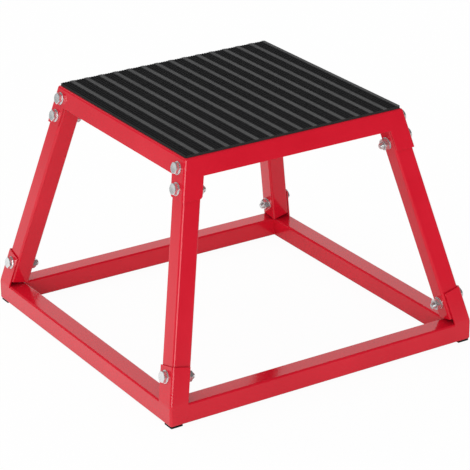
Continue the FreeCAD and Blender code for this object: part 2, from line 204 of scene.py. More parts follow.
# Fine skin of a coat, a plating or a moulding: two sizes of ripple, mixed
skinRipple = {"rippleDetail": 1.5, "fineDetail": 1.0, "roughness": 0.5, "fineShare": 0.3}


def makeSkinGroup():
    group, given, result = startGroup("skinRipple", ["Ripple Scale", "Fine Scale"], "Height")
    waves = []
    for scale, detail in (("Ripple Scale", "rippleDetail"), ("Fine Scale", "fineDetail")):
        noise = addNode(group, "ShaderNodeTexNoise", {
            "Vector": given["Vector"], "Scale": given[scale],
            "Detail": skinRipple[detail], "Roughness": skinRipple["roughness"]})
        waves.append(noise.outputs["Fac"])
    group.links.new(mixValues(group, skinRipple["fineShare"], *waves), result["Height"])
    return group


cloudGroup = makeCloudGroup()
skinGroup = makeSkinGroup()

# Red powder coat: deep gloss with a slight orange peel
redCoat = {
    "tints": ((0.60, 0.006, 0.021, 1), (0.67, 0.008, 0.026, 1)),
    "rough": (0.11, 0.18),
    "even": {"IOR": 1.5},   # what is the same all over
    "cloudScale": 9.0,
    "rippleScale": 420.0,
    "fineScale": 1800.0,
    "bumpStrength": 0.35,
    "bumpDepth": 0.00004,
}

# Rubber of the feet: matt black, a little uneven
footRubber = {
    "tints": ((0.004, 0.004, 0.004, 1), (0.010, 0.010, 0.010, 1)),
    "rough": (0.7, 0.9),
    "even": {"IOR": 1.2},
    "cloudScale": 120.0,
    "rippleScale": 700.0,
    "fineScale": 2200.0,
    "bumpStrength": 0.5,
    "bumpDepth": 0.0001,
}

# Bright zinc plating, a little cloudy, with a cold and a warm tint
zincPlate = {
    "tints": ((0.74, 0.78, 0.81, 1), (0.84, 0.84, 0.82, 1)),
    "rough": (0.18, 0.32),
    "even": {"Metallic": 0.85},
    "cloudScale": 260.0,
    "rippleScale": 900.0,
    "fineScale": 3000.0,
    "bumpStrength": 0.3,
    "bumpDepth": 0.00003,
}


# The mat's rubber shares these two as well
def addCloud(tree, place, finish):
    return useGroup(tree, cloudGroup, {"Vector": place, "Cloud Scale": finish["cloudScale"]})


def addSkin(tree, place, finish):
    return useGroup(tree, skinGroup, {
        "Vector": place, "Ripple Scale": finish["rippleScale"], "Fine Scale": finish["fineScale"]})


def makeFinish(name, finish):
    material, tree, shader, place = startMaterial(name)
    cloud = addCloud(tree, place, finish)
    tree.links.new(mixColours(tree, cloud, *finish["tints"]), shader.inputs["Base Color"])
    tree.links.new(mapTo(tree, cloud, *finish["rough"]), shader.inputs["Roughness"])
    for socket, level in finish["even"].items():
        shader.inputs[socket].default_value = level
    addBump(tree, shader, addSkin(tree, place, finish), finish["bumpStrength"], finish["bumpDepth"])
    return material


redMaterial = makeFinish("redCoat", redCoat)
footMaterial = makeFinish("footRubber", footRubber)
zincMaterial = makeFinish("zincPlate", zincPlate)
print("coat, foot rubber and plating made")


# Mesh helpers

sealDistance = 1e-7
softEdge = {"steps": 2, "angle": 45.0}


# a square with rounded corners, round the origin
def roundedLoop(half, radius, steps):
    points = []
    for quarter, (signX, signY) in enumerate(((1, 1), (-1, 1), (-1, -1), (1, -1))):
        for step in range(steps + 1):
            angle = quarterTurn * (quarter + step / steps)
            points.append((signX * (half - radius) + radius * math.cos(angle),
                           signY * (half - radius) + radius * math.sin(angle)))
    return points


# a point of a sheet that is folded round a corner: in the fold at an angle, on one of its two
# sides at a distance from the corner, or in the middle of a side
def foldPoint(kind, measure, half, radius):
    if kind == "fold":
        return half - radius + radius * math.cos(measure), half - radius + radius * math.sin(measure)
    if kind == "middle":
        return half, 0.0
    return (half, half - measure) if kind == "side" else (half - measure, half)


def addRing(bm, points):
    return [bm.verts.new(point) for point in points]


def joinRings(bm, first, second, closed=True):
    count = len(first)
    for i in range(count if closed else count - 1):
        j = (i + 1) % count
        bm.faces.new((first[i], first[j], second[j], second[i]))


def joinRow(bm, rings, closed=True):
    for first, second in zip(rings, rings[1:]):
        joinRings(bm, first, second, closed)


def toMesh(bm, name):
    bmesh.ops.remove_doubles(bm, verts=bm.verts, dist=sealDistance)
    bmesh.ops.dissolve_degenerate(bm, dist=sealDistance, edges=bm.edges)
    bmesh.ops.recalc_face_normals(bm, faces=bm.faces)
    mesh = bpy.data.meshes.new(name)
    bm.to_mesh(mesh)
    bm.free()
    mesh.shade_smooth()
    return mesh


def addPiece(name, mesh, material, node):
    piece = bpy.data.objects.new(name, mesh)
    scene.collection.objects.link(piece)
    mesh.materials.clear()
    mesh.materials.append(material)
    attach(piece, "root")
    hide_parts(node)
    return piece


def evenNormals(piece):
    normals = piece.modifiers.new("evenNormals", "WEIGHTED_NORMAL")
    normals.keep_sharp = True


def softenEdges(piece, width, marked=False):
    bevel = piece.modifiers.new("softEdges", "BEVEL")
    bevel.width = width
    bevel.segments = softEdge["steps"]
    bevel.limit_method = "WEIGHT" if marked else "ANGLE"
    bevel.angle_limit = math.radians(softEdge["angle"])
    evenNormals(piece)


# Tray: a folded sheet with a flat top, four leaning skirts and an ear on each side of a corner
traySheet = {
    "skirt": 0.023,
    "foldSteps": 6,
    "earRound": 0.003,   # lower corners of the ears
    "earSteps": 4,
    "edgeRound": 0.0008,
}


def makeTray():
    fold = stand["fold"]
    earWidth = insetAcross + stand["legWidth"] / 2
    earRound = traySheet["earRound"]
    steps = traySheet["foldSteps"]

    # columns of a quarter of the tray, from the middle of one side round a corner
    # each has its distance from the corner or its angle, and how far its ear is rounded up
    ear = []
    for step in range(traySheet["earSteps"] + 1):
        angle = quarterTurn * step / traySheet["earSteps"]
        ear.append((earWidth - earRound * (1 - math.cos(angle)), earRound * (1 - math.sin(angle))))
    columns = [("middle", 0.0, 0.0)]
    columns += [("side", distance, rise) for distance, rise in ear]
    columns += [("fold", quarterTurn * step / steps, 0.0) for step in range(steps + 1)]
    columns += [("nextSide", distance, rise) for distance, rise in reversed(ear)]

    bm = bmesh.new()

    def levelRing(half, radius, height):
        flat = [foldPoint(kind, measure, half, radius) for kind, measure, _ in columns]
        return addRing(bm, [turn @ Vector((x, y, height)) for turn in sideTurns for x, y in flat])

    foldMiddle = trayHalf - fold * (1 - math.sin(lean)) / math.cos(lean)
    foldEnd = foldMiddle + fold * math.cos(lean)
    rings = []
    for step in range(steps + 1):
        angle = quarterTurn + (lean - quarterTurn) * step / steps
        half = foldMiddle + fold * math.cos(angle)
        rings.append(levelRing(half, fold - (foldEnd - half), trayTop - fold + fold * math.sin(angle)))
    skirt = traySheet["skirt"]
    rings.append(levelRing(trayHalf + slope * skirt, fold, trayTop - skirt))
    joinRow(bm, rings)
    bm.faces.new(rings[0])

    # ears below the skirts: every column but the ones in the middle of a side
    count = len(columns)
    for quarter, turn in enumerate(sideTurns):
        hems = rings[-1][quarter * count + 1:(quarter + 1) * count]
        lows = []
        for kind, measure, rise in columns[1:]:
            height = earLow + rise
            x, y = foldPoint(kind, measure, trayHalf + slope * (trayTop - height), fold)
            lows.append(bm.verts.new(turn @ Vector((x, y, height))))
        joinRings(bm, hems, lows, closed=False)

    piece = addPiece("tray_sheet", toMesh(bm, "traySheet"), redMaterial, "platform_tray")
    wall = piece.modifiers.new("sheetWall", "SOLIDIFY")
    wall.thickness = stand["sheet"]
    wall.offset = -1
    wall.use_even_offset = True
    softenEdges(piece, traySheet["edgeRound"])


makeTray()
print("tray folded")


# Legs: square tubes cut square at both ends
legTube = {
    "wall": 0.002,
    "radius": 0.003,
    "insideRadius": 0.001,
    "endClearance": 0.0004,
    "steps": 6,
    "edgeRound": 0.0003,
}


def makeLeg(name, corner):
    width, clearance = stand["legWidth"], legTube["endClearance"]
    tilt = width / 2 * acrossRise
    top = (stand["sheet"] * (outRise - 1) - clearance - tilt) / upRise
    bottom = (railTop - trayTop + clearance + (width + stand["sheet"]) * outRise + tilt) / upRise
    outer = roundedLoop(width / 2, legTube["radius"], legTube["steps"])
    inner = roundedLoop(width / 2 - legTube["wall"], legTube["insideRadius"], legTube["steps"])
    place = legFrame(corner)
    bm = bmesh.new()
    loops = []
    for outline, height in ((outer, bottom), (outer, top), (inner, top), (inner, bottom)):
        loops.append(addRing(bm, [place @ Vector((x, y, height)) for x, y in outline]))
    joinRow(bm, loops + loops[:1])
    piece = addPiece(f"leg_tube_{name}", toMesh(bm, "legTube"), redMaterial, f"leg_{name}")
    softenEdges(piece, legTube["edgeRound"])


for name, corner in corners.items():
    makeLeg(name, corner)
print("legs cut")


# Base rails: mitred square tubes with the outer corners of the frame rounded off
railTube = {"radius": 0.0025, "steps": 6, "cornerSteps": 10, "sharpAngle": 40.0}


def makeRail(name, turn):
    fold, steps = stand["fold"], railTube["cornerSteps"]
    half = (railTop - footTop) / 2
    section = []   # depth from the outside of the frame, and height
    for x, z in roundedLoop(half, railTube["radius"], railTube["steps"]):
        section.append((half + x, footTop + half + z))

    # from the rounded corner's start, at step 0, to the mitre
    def endRing(bm, side, step):
        points = []
        for depth, height in section:
            if depth < fold:
                angle = quarterTurn / 2 * step / steps
                reach = baseHalf - fold + (fold - depth) * math.sin(angle)
                across = baseHalf - fold + (fold - depth) * math.cos(angle)
            else:
                reach = across = baseHalf - depth
            points.append(turn @ Vector((side * reach, -across, height)))
        return addRing(bm, points)

    bm = bmesh.new()
    rings = [endRing(bm, -1, step) for step in range(steps, -1, -1)]
    rings += [endRing(bm, 1, step) for step in range(steps + 1)]
    joinRow(bm, rings)
    bm.faces.new(rings[0])
    bm.faces.new(rings[-1])
    mesh = toMesh(bm, "railTube")
    mesh.set_sharp_from_angle(angle=math.radians(railTube["sharpAngle"]))
    evenNormals(addPiece(f"rail_tube_{name}", mesh, redMaterial, f"base_rail_{name}"))


for name, turn in zip(("front", "right", "back", "left"), sideTurns):
    makeRail(name, turn)
print("rails mitred")


# Corner plates: bent plates that grow out of the corners of the base and hold the legs
cornerPlate = {
    "sideReveal": 0.001,    # how much of the leg shows beside the plate
    "frontReveal": 0.0032,
    "boltRise": 0.0307,
    "earMargin": 0.0153,
    "foldSteps": 6,
    "bendSteps": 6,
    "topGap": 0.0005,       # how far its upper edge stands off the leg
    "edgeRound": 0.0007,
    "sharpAngle": 45.0,
}


def makeCornerPlate(name, corner):
    fold, sheet = stand["fold"], stand["sheet"]
    signX, signY = corner
    sharpAngle = math.radians(cornerPlate["sharpAngle"])
    wall = sheet * math.sqrt(1 + slope ** 2)   # the sheet's thickness, measured level
    insideRadius = fold - sheet
    slantSin = math.sqrt(1 - (slope * upRise) ** 2)   # between the leg and a level line in its face
    sideWidth = (insetAcross + stand["legWidth"] / 2 - cornerPlate["sideReveal"]) / slantSin
    frontWidth = (insetOut + stand["legWidth"] / 2 - cornerPlate["frontReveal"]) / slantSin
    topMiddle = railTop + cornerPlate["boltRise"] + cornerPlate["earMargin"]
    plateTop = (topMiddle - trayTop - insetAcross * acrossRise) / upRise
    up = Vector((-slope, -slope, 1)) * upRise
    topLevel = plateTop + up.dot(legFrame((1, 1)).translation)

    foldSteps, bendSteps = cornerPlate["foldSteps"], cornerPlate["bendSteps"]
    columns = [("side", sideWidth)]
    columns += [("fold", quarterTurn * step / foldSteps) for step in range(foldSteps + 1)]
    columns.append(("nextSide", frontWidth))

    bm = bmesh.new()

    def addVert(column, half, radius, height, depth):
        kind, measure = column
        x, y = foldPoint(kind, measure if kind == "fold" else measure - depth, half, radius)
        return bm.verts.new((signX * x, signY * y, height))

    # where a column meets the upper edge, which is square to the leg
    def topHeight(column, radius, depth):
        kind, measure = column
        back = measure - depth
        if kind == "fold":
            back = radius * (2 - math.cos(measure) - math.sin(measure))
        spread = 2 * (trayHalf - depth + slope * trayTop) - back
        return (topLevel / upRise + slope * spread) / (1 + 2 * slope ** 2)

    # a row of the leaning part at a depth behind its outer face, level or along the upper edge
    def leaningRow(radius, depth, level=None):
        row = []
        for column in columns:
            height = topHeight(column, radius, depth) if level is None else level
            half = trayHalf + slope * (trayTop - height) - depth
            row.append(addVert(column, half, radius, height, depth))
        return row

    # outer face: upright where it meets the rail's face, then a soft bend into the lean
    bendRadius = railTube["radius"] / math.tan(lean / 2)
    outer = []
    for step in range(bendSteps + 1):
        angle = lean * step / bendSteps
        half = baseHalf - bendRadius * (1 - math.cos(angle))
        height = railTop - railTube["radius"] + bendRadius * math.sin(angle)
        outer.append([addVert(column, half, fold, height, 0) for column in columns])
    outer.append(leaningRow(fold, 0))
    innerFoot = leaningRow(insideRadius, wall, railTop)
    innerTop = leaningRow(insideRadius, wall - cornerPlate["topGap"])
    joinRow(bm, outer, closed=False)
    joinRings(bm, innerFoot, innerTop, closed=False)
    joinRings(bm, outer[-1], innerTop, closed=False)
    joinRings(bm, outer[0], innerFoot, closed=False)
    for end in (0, -1):
        bm.faces.new([row[end] for row in outer] + [innerTop[end], innerFoot[end]])

    # round the outer edges that stand free, not the foot that runs into the rails
    outside = {vert for row in outer[1:] for vert in row}
    weight = bm.edges.layers.float.new("bevel_weight_edge")
    bm.normal_update()
    for edge in bm.edges:
        if outside.issuperset(edge.verts) and edge.calc_face_angle(0) > sharpAngle:
            edge[weight] = 1.0
    mesh = toMesh(bm, "cornerPlate")
    mesh.set_sharp_from_angle(angle=sharpAngle)
    piece = addPiece(f"corner_plate_{name}", mesh, redMaterial, f"base_corner_{name}")
    softenEdges(piece, cornerPlate["edgeRound"], marked=True)


for name, corner in corners.items():
    makeCornerPlate(name, corner)
print("corner plates bent")


# Feet: rubber pads with a softened rim
footPad = {
    "radius": 0.001,
    "rim": 0.0004,
    "rimShare": 0.3,   # how far in and up the middle of the rim's curve lies
    "steps": 4,
    "sharpAngle": 50.0,
}


def makeFoot(name):
    low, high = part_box(f"foot_{name}")
    middle = (low + high) / 2
    half = (high.x - low.x) / 2
    rim = footPad["rim"]
    curve = rim * footPad["rimShare"]
    bm = bmesh.new()
    rings = []
    for inset, height in ((rim, low.z), (curve, low.z + curve), (0, low.z + rim), (0, high.z)):
        outline = roundedLoop(half - inset, footPad["radius"] - inset, footPad["steps"])
        rings.append(addRing(bm, [Vector((middle.x + x, middle.y + y, height)) for x, y in outline]))
    joinRow(bm, rings)
    bm.faces.new(rings[0])
    bm.faces.new(rings[-1])
    mesh = toMesh(bm, "footPad")
    mesh.set_sharp_from_angle(angle=math.radians(footPad["sharpAngle"]))
    addPiece(f"foot_pad_{name}", mesh, footMaterial, f"foot_{name}")


for name in corners:
    makeFoot(name)
print("feet moulded")


# Geometry Nodes helpers

def startTree(name, sizes):
    tree = bpy.data.node_groups.new(name, "GeometryNodeTree")
    tree.interface.new_socket(name="Geometry", in_out="INPUT", socket_type="NodeSocketGeometry")
    for label, kind in sizes:
        tree.interface.new_socket(name=label, in_out="INPUT", socket_type=kind)
    tree.interface.new_socket(name="Geometry", in_out="OUTPUT", socket_type="NodeSocketGeometry")
    return tree, tree.nodes.new("NodeGroupInput").outputs


def joinParts(tree, parts):
    joined = addNode(tree, "GeometryNodeJoinGeometry")
    for part in parts:
        tree.links.new(part, joined.inputs[0])
    return joined.outputs[0]


def endTree(tree, geometry, material):
    whole = addNode(tree, "GeometryNodeRealizeInstances", {"Geometry": geometry})
    coated = addNode(tree, "GeometryNodeSetMaterial", {"Geometry": whole.outputs[0], "Material": material})
    tree.links.new(coated.outputs[0], tree.nodes.new("NodeGroupOutput").inputs[0])


def growMesh(name, start, tree, sizes):
    holder = bpy.data.objects.new(name, start)
    scene.collection.objects.link(holder)
    modifier = holder.modifiers.new(name, "NODES")
    modifier.node_group = tree
    for item in tree.interface.items_tree:
        if item.in_out == "INPUT" and item.name in sizes:
            modifier[item.identifier] = sizes[item.name]
    shown = holder.evaluated_get(bpy.context.evaluated_depsgraph_get())
    mesh = bpy.data.meshes.new_from_object(shown)
    bpy.data.objects.remove(holder)
    return mesh


# Mat: a rubber sheet with broad flat ribs, and fine ribs in the fields between them. The ribs
# are drawn too long and one too many, and cut to the outline of the sheet.
ribbedMat = {
    "Base": 0.0028,
    "Corner": 0.002,
    "Corner Steps": 5,
    "First Rib": 0.0157,   # from the left edge
    "Rib Pitch": 0.0204,
    "Rib Width": 0.0057,
    "Fine Count": 4,
    "Fine Width": 0.0018,
    "Fine Height": 0.0004,
    "Root": 0.0005,        # how deep a rib is rooted in the sheet
    "Rib Round": 0.0002,
    "Round Steps": 3,
    "Trim": 0.00002,       # how far the cut ribs stay behind the sides of the sheet
    "Seal": 0.000001,      # distance at which the faces of a slab are merged
}
matSharpAngle = 40.0


def makeMatTree():
    number, whole = "NodeSocketFloat", "NodeSocketInt"
    tree, given = startTree("ribbedMat", [
        ("Side", number), ("Level", number), ("Base", number), ("Corner", number), ("Corner Steps", whole),
        ("Rib Count", whole), ("First Rib", number), ("Rib Pitch", number), ("Rib Width", number),
        ("Rib Height", number), ("Rib Round", number), ("Round Steps", whole), ("Root", number),
        ("Fine Count", whole), ("Fine Pitch", number), ("Fine Width", number), ("Fine Height", number),
        ("Trim", number), ("Seal", number), ("Material", "NodeSocketMaterial")])

    def work(operation, *values):
        return mathNode(tree, operation, *values)

    def addPoint(**parts):
        return addNode(tree, "ShaderNodeCombineXYZ", parts).outputs[0]

    # a rounded square, raised to a thickness and closed below
    def addSlab(side, thickness):
        square = addNode(tree, "GeometryNodeCurvePrimitiveQuadrilateral", {"Width": side, "Height": side})
        cornered = addNode(tree, "GeometryNodeFilletCurve", {
            "Curve": square.outputs[0], "Radius": given["Corner"], "Count": given["Corner Steps"]},
            mode="POLY")
        filled = addNode(tree, "GeometryNodeFillCurve", {"Curve": cornered.outputs[0]}, mode="NGONS")
        lifted = addNode(tree, "GeometryNodeTransform", {
            "Geometry": filled.outputs[0], "Translation": addPoint(Z=given["Level"])})
        raised = addNode(tree, "GeometryNodeExtrudeMesh", {
            "Mesh": lifted.outputs[0], "Offset Scale": thickness})
        under = addNode(tree, "GeometryNodeFlipFaces", {"Mesh": lifted.outputs[0]})
        slab = joinParts(tree, (raised.outputs["Mesh"], under.outputs[0]))
        sealed = addNode(tree, "GeometryNodeMergeByDistance", {
            "Geometry": slab, "Distance": given["Seal"]})
        return sealed.outputs[0]

    # a rib: a rounded bar drawn along y, with its foot in the sheet
    faceLevel = work("ADD", given["Level"], given["Base"])
    reach = work("ADD", work("DIVIDE", given["Side"], 2.0), given["Corner"])
    back = work("MULTIPLY", reach, -1.0)

    def addRib(width, height):
        depth = work("ADD", height, given["Root"])
        rise = work("DIVIDE", work("SUBTRACT", height, given["Root"]), 2.0)
        middle = work("ADD", faceLevel, rise)
        path = addNode(tree, "GeometryNodeCurvePrimitiveLine", {
            "Start": addPoint(Y=back, Z=middle), "End": addPoint(Y=reach, Z=middle)})
        upright = addNode(tree, "GeometryNodeSetCurveNormal", {"Curve": path.outputs[0]}, mode="Z_UP")
        section = addNode(tree, "GeometryNodeCurvePrimitiveQuadrilateral", {
            "Width": width, "Height": depth})
        soft = addNode(tree, "GeometryNodeFilletCurve", {
            "Curve": section.outputs[0], "Radius": given["Rib Round"], "Count": given["Round Steps"]},
            mode="POLY")
        bar = addNode(tree, "GeometryNodeCurveToMesh", {
            "Curve": upright.outputs[0], "Profile Curve": soft.outputs[0], "Fill Caps": True})
        return bar.outputs[0]

    def addRow(count, first, pitch, shape):
        line = addNode(tree, "GeometryNodeMeshLine", {
            "Count": count, "Start Location": addPoint(X=first), "Offset": addPoint(X=pitch)})
        copies = addNode(tree, "GeometryNodeInstanceOnPoints", {
            "Points": line.outputs[0], "Instance": shape})
        return copies.outputs[0]

    count, pitch, finePitch = given["Rib Count"], given["Rib Pitch"], given["Fine Pitch"]
    leftEdge = work("MULTIPLY", given["Side"], -0.5)
    firstRib = work("ADD", leftEdge, work("SUBTRACT", given["First Rib"], pitch))
    firstField = work("ADD", firstRib, work("DIVIDE", pitch, 2.0))
    fineGaps = work("SUBTRACT", given["Fine Count"], 1.0)
    firstFine = work("MULTIPLY", work("MULTIPLY", fineGaps, finePitch), -0.5)
    fineRib = addRib(given["Fine Width"], given["Fine Height"])
    field = addRow(given["Fine Count"], firstFine, finePitch, fineRib)
    broadRib = addRib(given["Rib Width"], given["Rib Height"])
    ribs = joinParts(tree, (addRow(count, firstRib, pitch, broadRib),
                            addRow(count, firstField, pitch, field)))
    bars = addNode(tree, "GeometryNodeRealizeInstances", {"Geometry": ribs})

    # what lies inside the outline of the sheet, less the trim
    inside = work("SUBTRACT", given["Side"], work("MULTIPLY", given["Trim"], 2.0))
    thickness = work("ADD", given["Base"], work("MULTIPLY", given["Rib Height"], 2.0))
    cut = addNode(tree, "GeometryNodeMeshBoolean", operation="INTERSECT", solver="EXACT")
    tree.links.new(bars.outputs[0], cut.inputs["Mesh 2"])
    tree.links.new(addSlab(inside, thickness), cut.inputs["Mesh 2"])
    sheet = addSlab(given["Side"], given["Base"])
    endTree(tree, joinParts(tree, (sheet, cut.outputs["Mesh"])), given["Material"])
    return tree


# Black rubber of the mat: grey on the broad ribs as a painted sheen and on the cut sides as painted
# light, painted shade in the grooves, a cloth-like print between, with a little dust
matRubber = {
    # painted shade: the grooves of the fields are darker and the tops of the fine ribs lit, with the grooves
    # paler at random
    "groove": (0.005, 0.005, 0.0055, 1),
    "grooveShadePale": (0.008, 0.008, 0.0085, 1),
    "fineTopLit": (0.016, 0.016, 0.017, 1),
    # painted sheen: the grey of the broad ribs stands in for their reflection, and the dust specks take it
    # too
    "rib": (0.062, 0.062, 0.063, 1),
    "ribSheenPale": (0.078, 0.078, 0.079, 1),
    # painted light: the upright cut sides are lighter than the fields, as if lit from the side
    "side": (0.026, 0.026, 0.026, 1),
    "fieldRough": 0.85,
    "ribRough": 0.6,
    "ior": 1.2,
    # ribBand and ribSpread bound the painted sheen on the broad ribs' tops and walls, fineBand the lit tops
    # of the fine ribs
    "ribBand": (-0.00068, -0.0006),   # from the top of the ribs, where each grey comes in
    "fineBand": (-0.0006, -0.0004),
    "ribSpread": (0.0002, 0.0001),    # from the side of a broad rib
    # sideBand: where the painted light of the cut sides comes in
    "sideBand": (-0.0006, -0.0002),   # from the sides of the mat
    "cloudScale": 22.0,
    "rippleScale": 900.0,
    "fineScale": 2600.0,
    "skinShare": 0.45,                # of the skin in the print
    "dustScale": 700.0,
    "dustFade": (0.05, 0.3),
    "dustShare": 0.25,
    "clothPitch": 0.0011,
    "clothSlant": 38.0,
    "clothWander": 0.6,
    "clothDetail": 1.0,
    "printDepth": 0.00012,
    "printStrength": 0.5,
}
waveLength = 0.31416   # of a wave texture at a scale of 1


def makeMatRubber():
    material, tree, shader, place = startMaterial("matRubber")
    cloud = addCloud(tree, place, matRubber)
    skin = addSkin(tree, place, matRubber)
    parts = addNode(tree, "ShaderNodeSeparateXYZ", {"Vector": place}).outputs

    def addBand(source, edge, band):
        return mapTo(tree, source, 0.0, 1.0, (edge + band[0], edge + band[1]))

    # how far off the middle of the nearest broad rib
    fromFirst = mathNode(tree, "SUBTRACT", parts["X"], matLow.x + ribbedMat["First Rib"])
    halfPitch = ribbedMat["Rib Pitch"] / 2
    offRib = mathNode(tree, "ABSOLUTE", mathNode(tree, "WRAP", fromFirst, halfPitch, -halfPitch))
    acrossRib = addBand(offRib, ribbedMat["Rib Width"] / 2, matRubber["ribSpread"])
    onRib = mathNode(tree, "MINIMUM", acrossRib, addBand(parts["Z"], matHigh.z, matRubber["ribBand"]))
    onFine = addBand(parts["Z"], matHigh.z, matRubber["fineBand"])
    outermost = mathNode(tree, "MAXIMUM", *[mathNode(tree, "ABSOLUTE", parts[axis]) for axis in "XY"])
    onSide = addBand(outermost, matHigh.x, matRubber["sideBand"])

    # a cloth print: two sets of fine lines that cross at a slant
    lines = []
    for slant in (matRubber["clothSlant"], -matRubber["clothSlant"]):
        turned = addNode(tree, "ShaderNodeMapping", {
            "Vector": place, "Rotation": (0, 0, math.radians(slant))})
        wave = addNode(tree, "ShaderNodeTexWave", {
            "Vector": turned.outputs["Vector"], "Scale": waveLength / matRubber["clothPitch"],
            "Distortion": matRubber["clothWander"], "Detail": matRubber["clothDetail"]})
        lines.append(wave.outputs["Fac"])
    grain = mixValues(tree, matRubber["skinShare"], mathNode(tree, "MAXIMUM", *lines), skin)

    # painted shade in the grooves, lighter on the lit tops of the fine ribs
    groove = mixColours(tree, cloud, matRubber["groove"], matRubber["grooveShadePale"])
    field = mixColours(tree, onFine, groove, matRubber["fineTopLit"])
    # painted light on the cut sides of the mat
    sided = mixColours(tree, onSide, field, matRubber["side"])
    # painted sheen on the broad ribs, paler or darker at random
    rib = mixColours(tree, cloud, matRubber["rib"], matRubber["ribSheenPale"])
    colour = mixColours(tree, onRib, sided, rib)
    speck = addNode(tree, "ShaderNodeTexVoronoi", {"Vector": place, "Scale": matRubber["dustScale"]})
    dust = mapTo(tree, speck.outputs["Distance"], matRubber["dustShare"], 0.0, matRubber["dustFade"])
    tree.links.new(mixColours(tree, dust, colour, matRubber["rib"]), shader.inputs["Base Color"])
    rough = mapTo(tree, onRib, matRubber["fieldRough"], matRubber["ribRough"])
    tree.links.new(rough, shader.inputs["Roughness"])
    shader.inputs["IOR"].default_value = matRubber["ior"]
    addBump(tree, shader, grain, matRubber["printStrength"], matRubber["printDepth"])
    return material


matMaterial = makeMatRubber()


def makeMat():
    matSizes = dict(ribbedMat)
    side = matHigh.x - matLow.x
    fieldWidth = ribbedMat["Rib Pitch"] - ribbedMat["Rib Width"]
    matSizes["Side"] = side
    matSizes["Level"] = matLow.z
    matSizes["Rib Height"] = matHigh.z - matLow.z - ribbedMat["Base"]
    matSizes["Rib Count"] = math.floor(side / ribbedMat["Rib Pitch"]) + 2   # one is off the left edge
    matSizes["Fine Pitch"] = fieldWidth / ribbedMat["Fine Count"]
    matSizes["Material"] = matMaterial
    mesh = growMesh("matGrower", bpy.data.meshes.new("matStart"), makeMatTree(), matSizes)
    mesh.shade_smooth()
    mesh.set_sharp_from_angle(angle=math.radians(matSharpAngle))
    evenNormals(addPiece("ribbed_mat", mesh, matMaterial, "rubber_mat"))


makeMat()
print("mat ribbed")


# Fasteners, drawn once along z, which points out of the side of a leg, then set in rows
fastener = {
    "acrossFlats": 0.013,
    "head": 0.0045,
    "nut": 0.0065,
    "bolt": 0.008,
    "chamferShare": 0.96,    # of the flats, where a hexagon's corners begin to be turned off
    "chamferAngle": 30.0,
    "dishDrop": 0.0002,      # a shallow dish in the middle of the head
    "dishFloor": -0.0012,    # its floor and its rim, measured out from the shank
    "dishRim": 0.0008,
    "nutMouth": 0.0006,      # chamfer at the ends of the nut's bore
    "threadEnd": 0.0041,     # how far the bolt comes out of the nut
    "threadPitch": 0.00125,
    "threadDepth": 0.0006,
    "threadSteps": 8,        # rows in a pitch
    "tipChamfer": 0.001,
    "tipSlope": 0.8,
    "washer": 0.016,
    "washerBore": 0.0084,
    "washerThick": 0.0012,
    "washerRound": 0.0002,
    "around": 48,            # steps round a hexagon or a thread
    "sharpAngle": 28.0,
}
flats = fastener["acrossFlats"] / 2
chamferCircle = flats * fastener["chamferShare"]
shank = fastener["bolt"] / 2


def hexReach(angle):
    fromFlat = (angle + math.pi / 6) % (math.pi / 3) - math.pi / 6
    return flats / math.cos(fromFlat)


def ringAt(bm, reach, height):
    count = fastener["around"]
    points = []
    for i in range(count):
        angle = 2 * math.pi * i / count
        radius = reach(angle) if callable(reach) else reach
        level = height(angle) if callable(height) else height
        points.append(Vector((radius * math.cos(angle), radius * math.sin(angle), level)))
    return addRing(bm, points)


# a hexagon's corners are turned off to a cone at the free end
def chamferLevel(level, towards):
    fall = towards * math.tan(math.radians(fastener["chamferAngle"]))
    return lambda angle: level - fall * max(0.0, hexReach(angle) - chamferCircle)


def makeBoltShape():
    bm = bmesh.new()
    head = fastener["head"]
    nutEnd = -(stand["sheet"] + stand["legWidth"] + 2 * fastener["washerThick"] + fastener["nut"])
    first = nutEnd + fastener["nut"] / 2
    last = nutEnd - fastener["threadEnd"]
    rings = [
        ringAt(bm, shank + fastener["dishFloor"], head - fastener["dishDrop"]),
        ringAt(bm, shank + fastener["dishRim"], head),
        ringAt(bm, chamferCircle, head),
        ringAt(bm, hexReach, chamferLevel(head, 1)),
        ringAt(bm, hexReach, 0.0),
        ringAt(bm, shank, 0.0),
        ringAt(bm, shank, first),
    ]
    bm.faces.new(rings[0])

    # the thread: a helix from inside the nut to the turned-off tip
    pitch = fastener["threadPitch"]
    rows = math.ceil((first - last) / pitch * fastener["threadSteps"])
    for row in range(1, rows + 1):
        level = first + (last - first) * row / rows
        toTip = max(0.0, fastener["tipChamfer"] - (level - last))

        def threadReach(angle):
            phase = (level / pitch - angle / (2 * math.pi)) % 1
            groove = fastener["threadDepth"] * abs(2 * phase - 1)
            return min(shank - groove, shank - toTip * fastener["tipSlope"])

        rings.append(ringAt(bm, threadReach, level))
    bm.faces.new(rings[-1])
    joinRow(bm, rings)
    return toMesh(bm, "boltShape")


def makeNutShape():
    bm = bmesh.new()
    nut, mouth = fastener["nut"], fastener["nutMouth"]
    rings = [
        ringAt(bm, shank, -mouth),
        ringAt(bm, shank + mouth, 0.0),
        ringAt(bm, chamferCircle, 0.0),
        ringAt(bm, hexReach, chamferLevel(0.0, 1)),
        ringAt(bm, hexReach, chamferLevel(-nut, -1)),
        ringAt(bm, chamferCircle, -nut),
        ringAt(bm, shank + mouth, -nut),
        ringAt(bm, shank, -nut + mouth),
    ]
    joinRow(bm, rings + rings[:1])
    return toMesh(bm, "nutShape")


def makeWasherShape():
    bm = bmesh.new()
    thick, soft = fastener["washerThick"], fastener["washerRound"]
    outer, bore = fastener["washer"] / 2, fastener["washerBore"] / 2
    profile = [(bore, soft), (bore + soft, 0), (outer - soft, 0), (outer, soft),
               (outer, thick - soft), (outer - soft, thick), (bore + soft, thick), (bore, thick - soft)]
    rings = [ringAt(bm, reach, height) for reach, height in profile]
    joinRow(bm, rings + rings[:1])
    return toMesh(bm, "washerShape")


